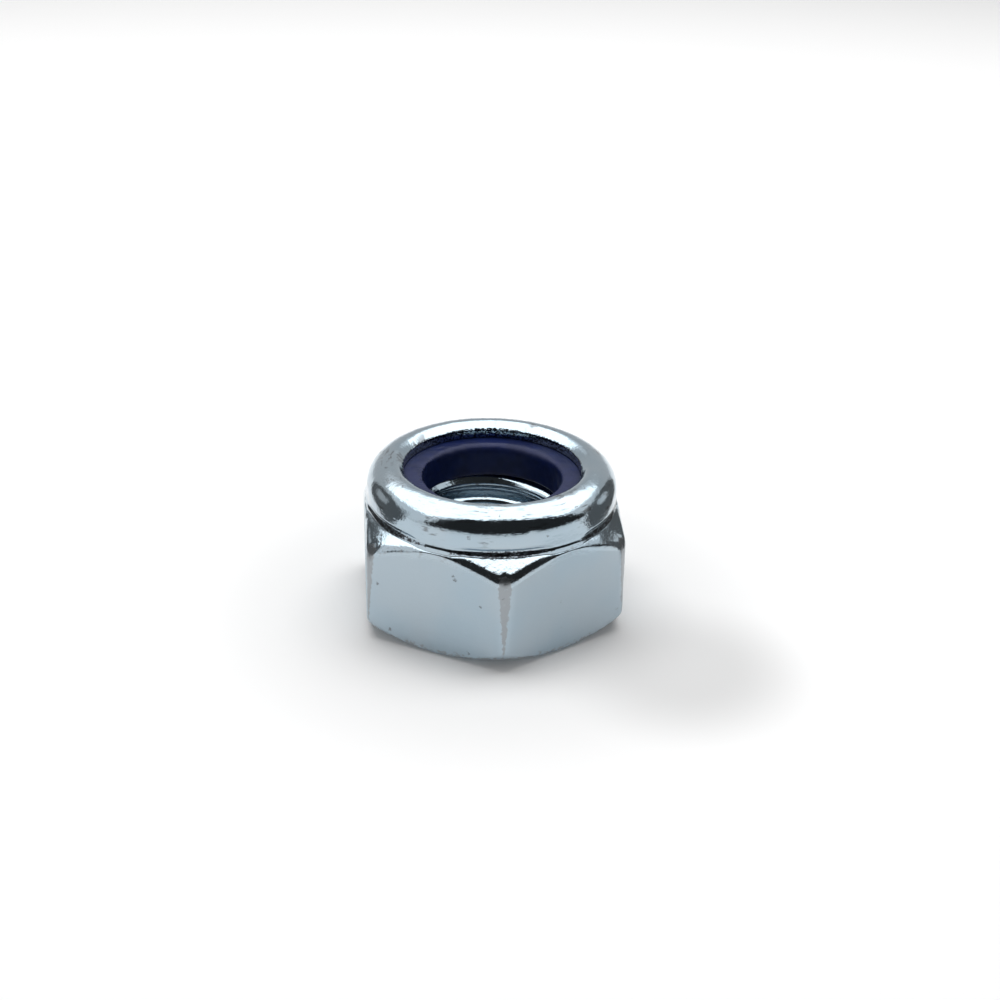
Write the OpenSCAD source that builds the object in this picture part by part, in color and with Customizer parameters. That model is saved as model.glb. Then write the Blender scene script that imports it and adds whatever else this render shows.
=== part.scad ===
// Prevailing torque lock nut, M12: a hexagon nut with a rolled collar that holds a nylon ring.
// The nut stands on its bearing face: origin at the centre of that face, thread axis along +Z,
// two corners of the hexagon on the Y axis and two flats square to the X axis.

/* [Hexagon] */
// Width across the flats
across_flats = 19; // [18.6:0.1:21]
// Height of a flat at its middle
flat_height = 8.25; // [7.8:0.05:8.5]
// How far the bearing face stays inside the flats, at the middle of a flat
bearing_inset = 0.3; // [0.1:0.05:0.5]
// Slope of the chamfer round the bearing face, in degrees from level
bearing_slope = 34; // [20:1:40]
// Slope of the crown that cuts the upper corners, in degrees from level
crown_slope = 40; // [30:1:45]
// Metal missing from each corner just under the crown, where the forging die wasn't filled
corner_gap_top = 0.35; // [0.15:0.05:0.5]
// Metal missing from each corner just over the bearing face
corner_gap_base = 0.08; // [0.03:0.01:0.15]

/* [Thread] */
// Nominal diameter of the thread
thread_d = 12; // [11.6:0.1:12.4]
// Pitch of the thread
thread_pitch = 1.75; // [1.25:0.25:1.75]
// Width of the countersink's mouth in the bearing face
countersink_d = 13.4; // [12.8:0.1:14.4]
// Width of the small bevel that breaks the countersink's edge
mouth_bevel = 0.3; // [0.1:0.05:0.5]
// Chamfer at the upper end of the thread, in the floor under the insert
floor_chamfer = 0.3; // [0.2:0.05:0.6]

/* [Collar] */
// Whole height of the nut
height = 11.6; // [11.4:0.05:12.2]
// How far the collar's barrel stays inside the flats
collar_inset = 0.2; // [0.1:0.05:0.4]
// Radius of the bend that rolls the barrel over into the rim
bend_r = 1.85; // [1.6:0.05:2]
// Radius of the turn from the crest down to the lip
lip_round = 0.85; // [0.5:0.05:1.1]
// Slope of the lip inside that turn, in degrees from level
lip_slope = 40; // [30:1:50]
// Width of the opening that the lip leaves
opening_d = 13.2; // [12.6:0.1:13.6]
// Thickness of the collar's wall beside the insert
collar_wall = 1.3; // [1:0.05:1.4]
// Height of the bead that the rolling left round the foot of the collar
bead_height = 0.1; // [0.05:0.01:0.2]
// Depth of the groove over the bead
groove_depth = 0.12; // [0.05:0.01:0.2]
// Height of the groove's lower side, from the bead to its bottom
groove_low = 0.36; // [0.2:0.02:0.5]
// Height of the groove's upper side, from its bottom to the barrel
groove_high = 0.24; // [0.1:0.02:0.3]

/* [Insert] */
// Height of the nylon ring
insert_height = 2.6; // [2.4:0.05:2.7]
// How far the ring's face lies under the crest of the rim
insert_sunk = 1.2; // [1.1:0.05:1.4]
// How far the ring's bore stands into the thread, on the radius
insert_bite = 0.85; // [0.5:0.05:0.95]
// Radius of the ring's shoulder, which the lip is rolled down on
shoulder_r = 1.1; // [0.8:0.05:1.3]
// Rounding of the upper edge of the ring's bore, where the bolt comes out
insert_edge = 0.35; // [0.2:0.05:0.6]
// Rounding of the lower edge of the ring's bore
insert_low_edge = 0.3; // [0.1:0.05:0.4]

/* [Hidden] */
$fn = 96;
// Cutters run this far past the faces that they open
past = 1;

flat_r = across_flats / 2;
corner_r = flat_r / cos(30);
bearing_r = flat_r - bearing_inset;
low_corner_r = corner_r - corner_gap_base;
high_corner_r = corner_r - corner_gap_top;

// Heights on the two chamfers that turn round the axis, at a radius
function bearing_chamfer_z(r) = (r - bearing_r) * tan(bearing_slope);
function crown_z(r) = flat_height - (r - flat_r) * tan(crown_slope);

collar_r = flat_r - collar_inset;
neck_z = crown_z(collar_r);
bead_z = neck_z + bead_height;
groove_z = bead_z + groove_low;
barrel_z = groove_z + groove_high;
crest_r = collar_r - bend_r;
bend_z = height - bend_r;

// The lip runs straight on from the end of its turn to the edge of the opening
lip_r = opening_d / 2;
turn_end_r = crest_r - lip_round * sin(lip_slope);
turn_end_z = height - lip_round * (1 - cos(lip_slope));
lip_z = turn_end_z - (turn_end_r - lip_r) * tan(lip_slope);

// The bore is plain, at the thread's minor diameter
minor_r = thread_d / 2 - 0.5413 * thread_pitch;
mouth_r = countersink_d / 2;
// The countersink is a 90 degree cone, so it is as deep as it is wide
countersink_depth = mouth_r - minor_r;

insert_face_z = height - insert_sunk;
pocket_floor_z = insert_face_z - insert_height;
pocket_r = collar_r - collar_wall;
insert_bore_r = thread_d / 2 - insert_bite;

// A quarter of a disc in the quadrant that starts at the given angle
module quarter_disc(r, start_angle) {
    rotate(start_angle) intersection() {
        circle(r);
        square(r + past);
    }
}

// Outline of what the two chamfers and the rounded corners leave of the hexagon
module hexagon_envelope() {
    polygon([
        [0, 0],
        [bearing_r, 0],
        [low_corner_r, bearing_chamfer_z(low_corner_r)],
        [high_corner_r, crown_z(high_corner_r)],
        [collar_r, neck_z],
        [0, neck_z]
    ]);
}

module hexagon_blank() {
    intersection() {
        rotate(90) cylinder(h = neck_z, r = corner_r, $fn = 6);
        rotate_extrude() hexagon_envelope();
    }
}

// Half section of the collar: bead, groove, barrel, bend, crest and lip
module collar_outline() {
    polygon([
        [0, neck_z],
        [collar_r, neck_z],
        [collar_r, bead_z],
        [collar_r - groove_depth, groove_z],
        [collar_r, barrel_z],
        [collar_r, bend_z],
        [0, bend_z]
    ]);
    translate([crest_r, bend_z]) quarter_disc(bend_r, 0);
    polygon([
        [lip_r, bend_z],
        [lip_r, lip_z],
        [turn_end_r, turn_end_z],
        [crest_r, height - lip_round],
        [crest_r, bend_z]
    ]);
    translate([crest_r, height - lip_round]) lip_turn();
}

// Part of a disc, from its top round to the lip's slope
module lip_turn() {
    reach = lip_round + past;
    intersection() {
        quarter_disc(lip_round, 90);
        polygon([[0, 0], [0, reach], [-reach * tan(lip_slope), reach]]);
    }
}

// Half section of the room for the ring, which the ring fills up to its bore
module pocket_outline() {
    square([pocket_r, insert_height - shoulder_r]);
    square([pocket_r - shoulder_r, insert_height]);
    translate([pocket_r - shoulder_r, insert_height - shoulder_r]) quarter_disc(shoulder_r, 0);
}

// What the tap leaves: the plain bore with a chamfer under the ring
module bore_cutter() {
    translate([0, 0, -past]) cylinder(h = insert_face_z, r = minor_r);
    translate([0, 0, pocket_floor_z - floor_chamfer])
        cylinder(h = floor_chamfer, r1 = minor_r, r2 = minor_r + floor_chamfer);
}

// The countersink in the bearing face, with its edge broken at half its slope
module countersink_cutter() {
    bevel_depth = mouth_bevel * tan(22.5);
    rotate_extrude() polygon([
        [0, -past],
        [mouth_r + mouth_bevel, -past],
        [mouth_r + mouth_bevel, 0],
        [mouth_r, bevel_depth],
        [minor_r, bevel_depth + countersink_depth],
        [0, bevel_depth + countersink_depth]
    ]);
}

// Hexagon and collar, formed and tapped from one slug of steel
module nut_body() {
    color("lightsteelblue") difference() {
        union() {
            hexagon_blank();
            rotate_extrude() collar_outline();
        }
        translate([0, 0, pocket_floor_z]) rotate_extrude() pocket_outline();
        bore_cutter();
        countersink_cutter();
    }
}

// Half section of what the ring's bore leaves of the pocket, with rounded edges
module ring_wall() {
    translate([insert_bore_r + insert_edge, 0]) square([pocket_r, insert_height]);
    translate([insert_bore_r + insert_low_edge, 0])
        square([insert_edge, insert_height - insert_edge]);
    translate([insert_bore_r, insert_low_edge])
        square([pocket_r, insert_height - insert_edge - insert_low_edge]);
    translate([insert_bore_r + insert_low_edge, insert_low_edge])
        quarter_disc(insert_low_edge, 180);
    translate([insert_bore_r + insert_edge, insert_height - insert_edge])
        quarter_disc(insert_edge, 90);
}

// Nylon ring, on the pocket's floor and under the rolled lip
module nylon_insert() {
    color("midnightblue") translate([0, 0, pocket_floor_z]) rotate_extrude() intersection() {
        pocket_outline();
        ring_wall();
    }
}

nut_body();
nylon_insert();
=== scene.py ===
"""Looks of the M12 lock nut: the steel body with its thread, the nylon ring, their finishes and the studio.

The classes hold their sizes in millimetres. Meshes become metres when their objects are made.
"""

import logging
import math
from collections.abc import Sequence
from dataclasses import dataclass, field
from enum import Enum

import bpy
import numpy as np
from mathutils import Matrix, Vector


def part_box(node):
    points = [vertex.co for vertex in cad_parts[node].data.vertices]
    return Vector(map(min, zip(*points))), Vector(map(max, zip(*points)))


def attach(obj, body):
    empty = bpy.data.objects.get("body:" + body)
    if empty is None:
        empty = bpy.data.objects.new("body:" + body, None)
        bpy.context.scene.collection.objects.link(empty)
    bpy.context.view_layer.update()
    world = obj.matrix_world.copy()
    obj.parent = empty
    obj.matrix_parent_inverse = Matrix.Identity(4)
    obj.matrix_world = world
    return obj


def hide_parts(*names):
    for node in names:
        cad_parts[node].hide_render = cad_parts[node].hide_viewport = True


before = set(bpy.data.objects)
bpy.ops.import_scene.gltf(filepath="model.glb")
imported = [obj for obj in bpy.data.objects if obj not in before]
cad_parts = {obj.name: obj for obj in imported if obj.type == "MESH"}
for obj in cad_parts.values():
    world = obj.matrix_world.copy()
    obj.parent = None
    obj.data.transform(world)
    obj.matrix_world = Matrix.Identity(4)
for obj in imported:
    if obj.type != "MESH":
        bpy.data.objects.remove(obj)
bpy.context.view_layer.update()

MM = 0.001
ROOT_BODY = "root"
# Point attributes: the shares of coarse, sheared and rolled skin, and the share of satin skin. The sheared
# share also paints shade under the rolled lip and in the neck's groove
SKIN = "skin"
SATIN = "satin"
# Noise of this size has scale 1, for places that are counted in widths of a streak
ONE_WIDTH = 1000.0
# How many clouds of noise a streak round the axis passes in one radian
CLOUDS_A_RADIAN = 9.0
FULL_TURN = 2.0 * math.pi
log = logging.getLogger("lock_nut")

Socket = bpy.types.NodeSocket
Pair = tuple[float, float]
Colour = tuple[float, float, float]


class Node(Enum):
    """The CAD nodes that the detailed pieces stand for."""

    BODY = "nut_body"
    RING = "nylon_insert"


class Slot(Enum):
    """The record's material slots."""

    STEEL = "zinc_plated_steel"
    NYLON = "blue_nylon"


def soft_min(first: np.ndarray, second: np.ndarray | float, width: float) -> np.ndarray:
    """Smaller of two lengths, rounded off where they differ by less than a width."""
    overlap = np.maximum(width - np.abs(first - second), 0.0) / width
    return np.minimum(first, second) - overlap**2 * width / 4.0


def soft_max(first: np.ndarray, second: np.ndarray | float, width: float) -> np.ndarray:
    """Larger of two lengths, filled in where they differ by less than a width."""
    return -soft_min(-first, -second, width)


def bell(distance: np.ndarray, reach: float, power: int = 2) -> np.ndarray:
    """Share that falls from 1 at no distance to nearly 0 at twice the reach."""
    return np.exp(-((distance / reach) ** power))


def at(radius: float | np.ndarray, height: float | np.ndarray, columns: int) -> np.ndarray:
    """A point of the section in every column.

    Args:
        radius: Distance from the thread's axis, one for all columns or one for each.
        height: Height over the bearing face, in the same way.
        columns: Number of columns round the axis.

    Returns:
        An array of columns by (radius, height).
    """
    point = np.empty((columns, 2))
    point[:, 0] = radius
    point[:, 1] = height
    return point


def run(start: np.ndarray, end: np.ndarray, count: int) -> np.ndarray:
    """Rows of evenly spaced points between two others, without those two."""
    share = (np.arange(count) + 1.0) / (count + 1.0)
    return start + (end - start) * share[:, None, None]


def away(section: np.ndarray, radius: float | np.ndarray, height: float | np.ndarray) -> np.ndarray:
    """Distance of a section's points from a place on it."""
    return np.hypot(section[..., 0] - radius, section[..., 1] - height)


def arc(centre: np.ndarray, radius: float, start_deg: float, end_deg: float, steps: int) -> np.ndarray:
    """Points on a circular arc of the section, with both ends.

    Args:
        centre: Centre of the arc in every column.
        radius: Radius of the arc.
        start_deg: Angle of the first point, from the outward direction towards +Z.
        end_deg: Angle of the last point.
        steps: Number of points.

    Returns:
        An array of steps by columns by 2.
    """
    angle = np.radians(np.linspace(start_deg, end_deg, steps))
    offset = radius * np.stack([np.cos(angle), np.sin(angle)], axis=1)
    return centre[None] + offset[:, None, :]


def rounded(
    before: np.ndarray,
    corner: np.ndarray,
    after: np.ndarray,
    radius: float | np.ndarray,
    steps: int,
    hold: float = 0.45,
) -> np.ndarray:
    """A corner of the section turned into a curve that touches both of its sides.

    Args:
        before: The point that the section comes from, in every column.
        corner: The sharp corner.
        after: The point that the section goes to.
        radius: Radius of the rounding, one or one for each column, cut down where a side is too short.
        steps: Number of points on the curve.
        hold: Share of the shorter side that the curve may take.

    Returns:
        An array of steps by columns by 2.
    """
    into = corner - before
    out = after - corner
    into_length = np.linalg.norm(into, axis=1)
    out_length = np.linalg.norm(out, axis=1)
    into = into / into_length[:, None]
    out = out / out_length[:, None]
    turn = np.arccos(np.clip((into * out).sum(axis=1), -1.0, 1.0))
    longest = hold * np.minimum(into_length, out_length)
    reach = np.minimum(radius * np.tan(turn / 2.0), longest)[:, None]
    share = np.linspace(0.0, 1.0, steps)[:, None, None]
    first = (corner - into * reach)[None]
    last = (corner + out * reach)[None]
    return (1 - share) ** 2 * first + 2 * share * (1 - share) * corner[None] + share**2 * last


def section_normals(section: np.ndarray) -> np.ndarray:
    """Directions that stand out of the material along a section.

    Args:
        section: Rows by columns by (radius, height), counterclockwise round the material.

    Returns:
        Unit vectors in the same layout.
    """
    along = np.gradient(section, axis=0)
    normal = np.stack([along[..., 1], -along[..., 0]], axis=-1)
    return normal / np.maximum(np.linalg.norm(normal, axis=-1, keepdims=True), 1e-9)


def section_travel(section: np.ndarray) -> np.ndarray:
    """Distance along the section from its first row, in every column."""
    step = np.linalg.norm(np.diff(section, axis=0), axis=-1)
    return np.concatenate([np.zeros((1, section.shape[1])), np.cumsum(step, axis=0)])


@dataclass(frozen=True)
class Waviness:
    """Smooth unevenness of a surface of revolution, never above the true surface.

    Attributes:
        depth: Greatest depth.
        round_waves: Highest number of waves in a turn.
        travel_length: Shortest wavelength along the section.
        parts: Number of waves that are added up.
        seed: Seed of the draw.
        peak: Height of the sum that counts as the greatest, in its usual heights.
    """

    depth: float
    round_waves: int
    travel_length: float
    parts: int
    seed: int
    peak: float = 1.6

    def depth_at(self, angle: np.ndarray, travel: np.ndarray) -> np.ndarray:
        """How deep the surface lies under the true one.

        Args:
            angle: Angle round the axis, in radians.
            travel: Distance along the section.

        Returns:
            Depths of the shape that the two arguments make together.
        """
        draw = np.random.default_rng(self.seed)
        total = np.zeros(np.broadcast(angle, travel).shape)
        for _ in range(self.parts):
            waves = draw.integers(2, self.round_waves + 1)
            rate = draw.uniform(-1.0, 1.0) * FULL_TURN / self.travel_length
            phase = draw.uniform(0.0, FULL_TURN)
            total = total + np.sin(waves * angle + rate * travel + phase)
        spread = self.peak * math.sqrt(self.parts / 2.0)
        return self.depth * np.clip(0.5 + total / (2.0 * spread), 0.0, 1.0)


@dataclass
class Surface:
    """A closed surface that is put together from grids, in millimetres.

    Attributes:
        points: Blocks of points.
        marks: Shares of coarse, sheared, rolled and satin skin at each point; the sheared share also holds
            painted shade.
        quads: Blocks of four-sided faces.
        triangles: Blocks of three-sided faces.
        count: Number of points so far.
    """

    points: list[np.ndarray] = field(default_factory=list)
    marks: list[np.ndarray] = field(default_factory=list)
    quads: list[np.ndarray] = field(default_factory=list)
    triangles: list[np.ndarray] = field(default_factory=list)
    count: int = 0

    def add(self, section: np.ndarray, angle: np.ndarray, mark: np.ndarray | None = None) -> np.ndarray:
        """Turns a section round the axis into points.

        Args:
            section: Rows by columns by (radius, height).
            angle: Angle of each column, or of each point.
            mark: Shares of coarse, sheared, rolled and satin skin, by point, the sheared share also holding
                painted shade; none means smooth.

        Returns:
            The points' numbers, rows by columns.
        """
        radius = section[..., 0]
        points = np.stack([radius * np.cos(angle), radius * np.sin(angle), section[..., 1]], axis=-1)
        numbers = self.count + np.arange(radius.size).reshape(radius.shape)
        self.points.append(points.reshape(-1, 3))
        self.marks.append(np.zeros((radius.size, 4)) if mark is None else mark.reshape(-1, 4))
        self.count += radius.size
        return numbers

    def join(self, numbers: np.ndarray) -> None:
        """Faces a grid of points whose last column meets its first.

        Args:
            numbers: Point numbers, rows by columns.
        """
        following = np.roll(numbers, -1, axis=1)
        corners = [numbers[:-1], following[:-1], following[1:], numbers[1:]]
        self.add_quads(np.stack(corners, axis=-1).reshape(-1, 4))

    def add_quads(self, quads: np.ndarray) -> None:
        """Adds quads, and as triangles those of which one side has shrunk to a point.

        Args:
            quads: Four point numbers a row, counterclockwise seen from outside.
        """
        shrunk_start = quads[:, 0] == quads[:, 3]
        shrunk_end = quads[:, 1] == quads[:, 2]
        self.quads.append(quads[~shrunk_start & ~shrunk_end])
        self.triangles.append(quads[shrunk_start & ~shrunk_end][:, [0, 1, 2]])
        self.triangles.append(quads[shrunk_end & ~shrunk_start][:, [0, 1, 3]])

    def widen(self, coarse: np.ndarray, fine: np.ndarray, fine_after: bool) -> None:
        """Faces the strip between a row of points and one with twice as many.

        Args:
            coarse: Point numbers of the row with fewer points.
            fine: Point numbers of the other row; every second one is level with a coarse one.
            fine_after: Whether the fine row follows the coarse one along the section.
        """
        ahead = np.roll(coarse, -1)
        level, middle, level_ahead = fine[0::2], fine[1::2], np.roll(fine[0::2], -1)
        strips = [(coarse, middle, level), (coarse, ahead, middle), (ahead, level_ahead, middle)]
        for corners in strips:
            order = corners if fine_after else corners[::-1]
            self.triangles.append(np.stack(order, axis=-1))

    def normals(self, points: np.ndarray, quads: np.ndarray, triangles: np.ndarray) -> np.ndarray:
        """Normals at the points, in which large faces count for more than slim ones.

        Args:
            points: All points.
            quads: All four-sided faces.
            triangles: All three-sided faces.

        Returns:
            One unit vector a point.
        """
        total = np.zeros_like(points)
        # The corners between which the two lines run that a face's normal is square to
        for faces, ends in ((quads, (0, 2, 1, 3)), (triangles, (0, 1, 0, 2))):
            start, end, other_start, other_end = ends
            line = points[faces[:, end]] - points[faces[:, start]]
            other_line = points[faces[:, other_end]] - points[faces[:, other_start]]
            normal = np.cross(line, other_line)
            for corner in faces.T:
                np.add.at(total, corner, normal)
        return total / np.maximum(np.linalg.norm(total, axis=1, keepdims=True), 1e-12)

    def make_object(self, name: str, material: bpy.types.Material) -> bpy.types.Object:
        """Makes the Blender object, smooth shaded, and links it to the scene.

        Args:
            name: Name of the object and its mesh.
            material: The piece's only material.

        Returns:
            The new object.
        """
        quads = np.concatenate(self.quads)
        triangles = np.concatenate(self.triangles)
        used, order = np.unique(np.concatenate([quads.ravel(), triangles.ravel()]), return_inverse=True)
        points = np.concatenate(self.points)[used] * MM
        quads, triangles = order[: quads.size].reshape(-1, 4), order[quads.size :].reshape(-1, 3)
        mesh = bpy.data.meshes.new(name)
        mesh.from_pydata(points.tolist(), [], quads.tolist() + triangles.tolist())
        mesh.polygons.foreach_set("use_smooth", np.ones(len(mesh.polygons), dtype=bool))
        mesh.materials.append(material)
        marks = np.concatenate(self.marks)[used].astype(np.float32)
        mesh.attributes.new(SKIN, "FLOAT_VECTOR", "POINT").data.foreach_set("vector", marks[:, :3].ravel())
        mesh.attributes.new(SATIN, "FLOAT", "POINT").data.foreach_set("value", marks[:, 3].copy())
        mesh.normals_split_custom_set_from_vertices(self.normals(points, quads, triangles).tolist())
        piece = bpy.data.objects.new(name, mesh)
        bpy.context.scene.collection.objects.link(piece)
        log.info("%s: %d triangles", name, 2 * len(quads) + len(triangles))
        return piece


@dataclass(frozen=True)
class Clouds:
    """Cloudy noise, and the part of its range over which a value changes.

    Attributes:
        size_mm: Size of one cloud.
        detail: How many finer layers it has.
        low: Noise at which the change starts.
        high: Noise at which it is complete.
    """

    size_mm: float
    detail: float
    low: float
    high: float


class Shader:
    """Adds nodes to one node tree and links them."""

    def __init__(self, tree: bpy.types.NodeTree) -> None:
        """Keeps the tree, emptied."""
        self.tree = tree
        tree.nodes.clear()

    @classmethod
    def new_material(cls, name: str) -> tuple[bpy.types.Material, "Shader"]:
        """Makes a material whose node tree is empty.

        Args:
            name: Name of the material.

        Returns:
            The material, and the shader that is to fill its tree.
        """
        made = bpy.data.materials.new(name)
        made.use_nodes = True
        return made, cls(made.node_tree)

    def node(self, kind: str, **settings: object) -> bpy.types.Node:
        """Adds a node.

        Args:
            kind: The node's type name in Blender, without its ShaderNode prefix.
            **settings: Properties of the node.

        Returns:
            The new node.
        """
        made = self.tree.nodes.new("ShaderNode" + kind)
        for name, value in settings.items():
            setattr(made, name, value)
        return made

    def link(self, source: Socket | Colour | float, target: Socket) -> None:
        """Links an output to an input, or gives the input a fixed value.

        Args:
            source: The output, or a colour or number for the input.
            target: The input.
        """
        if isinstance(source, Socket):
            self.tree.links.new(source, target)
        elif isinstance(source, tuple):
            target.default_value = (*source, 1.0)
        else:
            target.default_value = source

    def end(self, source: Socket, kind: str = "OutputMaterial") -> None:
        """Gives the tree's result to its output node."""
        self.link(source, self.node(kind).inputs["Surface"])

    def noise(self, place: Socket, size_mm: float, detail: float) -> Socket:
        """Cloudy noise.

        Args:
            place: Output that gives the place in metres.
            size_mm: Size of one cloud.
            detail: How many finer layers it has.

        Returns:
            The noise's output, from 0 to 1.
        """
        made = self.node("TexNoise")
        made.inputs["Scale"].default_value = 1.0 / (size_mm * MM)
        made.inputs["Detail"].default_value = detail
        self.link(place, made.inputs["Vector"])
        return made.outputs["Fac"]

    def spread(self, source: Socket, low: float, high: float, to_low: float, to_high: float) -> Socket:
        """Maps one range onto another, with a smooth start and end.

        Args:
            source: Output to be mapped.
            low: Value that becomes to_low.
            high: Value that becomes to_high.
            to_low: Result for the lower value.
            to_high: Result for the higher value.

        Returns:
            The mapped output.
        """
        made = self.node("MapRange", interpolation_type="SMOOTHSTEP")
        self.link(source, made.inputs["Value"])
        for name, value in zip(("From Min", "From Max", "To Min", "To Max"), (low, high, to_low, to_high)):
            made.inputs[name].default_value = value
        return made.outputs["Result"]

    def cloudy(self, place: Socket, clouds: Clouds, first: float, second: float) -> Socket:
        """Value that goes from the first to the second with the clouds."""
        noise = self.noise(place, clouds.size_mm, clouds.detail)
        return self.spread(noise, clouds.low, clouds.high, first, second)

    def mix(self, share: Socket, first: Socket | Colour | float, second: Colour | float) -> Socket:
        """Mixes two colours or two numbers.

        Args:
            share: Output that gives the share of the second.
            first: Output, colour or number at share 0.
            second: Colour or number at share 1.

        Returns:
            The mixed output.
        """
        made = self.node("Mix", data_type="RGBA" if isinstance(second, tuple) else "FLOAT")
        self.link(share, made.inputs["Factor"])
        self.link(first, made.inputs["A"])
        self.link(second, made.inputs["B"])
        return made.outputs["Result"]

    def join(self, operation: str, first: Socket, second: Socket | float) -> Socket:
        """Does a sum on two values.

        Args:
            operation: The sum, as Blender's Math node names it.
            first: First output.
            second: Second output, or a number.

        Returns:
            The result's output.
        """
        made = self.node("Math", operation=operation)
        self.link(first, made.inputs[0])
        self.link(second, made.inputs[1])
        return made.outputs["Value"]

    def round_about(self, place: Socket, width_mm: float) -> Socket:
        """Place in a space where noise of size ONE_WIDTH makes streaks round the Z axis.

        Args:
            place: Output that gives the place in metres.
            width_mm: Width of a streak.

        Returns:
            The new place's output.
        """
        parts = self.node("SeparateXYZ")
        self.link(place, parts.inputs["Vector"])
        x, y, z = (parts.outputs[axis] for axis in "XYZ")
        squares = self.join("ADD", self.join("MULTIPLY", x, x), self.join("MULTIPLY", y, y))
        radius = self.join("SQRT", squares, 0.5)
        made = self.node("CombineXYZ")
        for name, part in (("X", x), ("Y", y)):
            turned = self.join("MULTIPLY", self.join("DIVIDE", part, radius), CLOUDS_A_RADIAN)
            self.link(turned, made.inputs[name])
        across = self.join("SUBTRACT", z, radius)
        self.link(self.join("MULTIPLY", across, 1.0 / (width_mm * MM)), made.inputs["Z"])
        return made.outputs["Vector"]

    def bump(self, height: Socket, depth_mm: float, after: Socket | None = None) -> Socket:
        """Bumps from a height, over other bumps.

        Args:
            height: Output from 0 to 1 that gives the height.
            depth_mm: Height that 1 stands for.
            after: Normal output of the bumps underneath.

        Returns:
            The bumped normal's output.
        """
        made = self.node("Bump")
        made.inputs["Distance"].default_value = depth_mm * MM
        self.link(height, made.inputs["Height"])
        if after is not None:
            self.link(after, made.inputs["Normal"])
        return made.outputs["Normal"]


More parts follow.
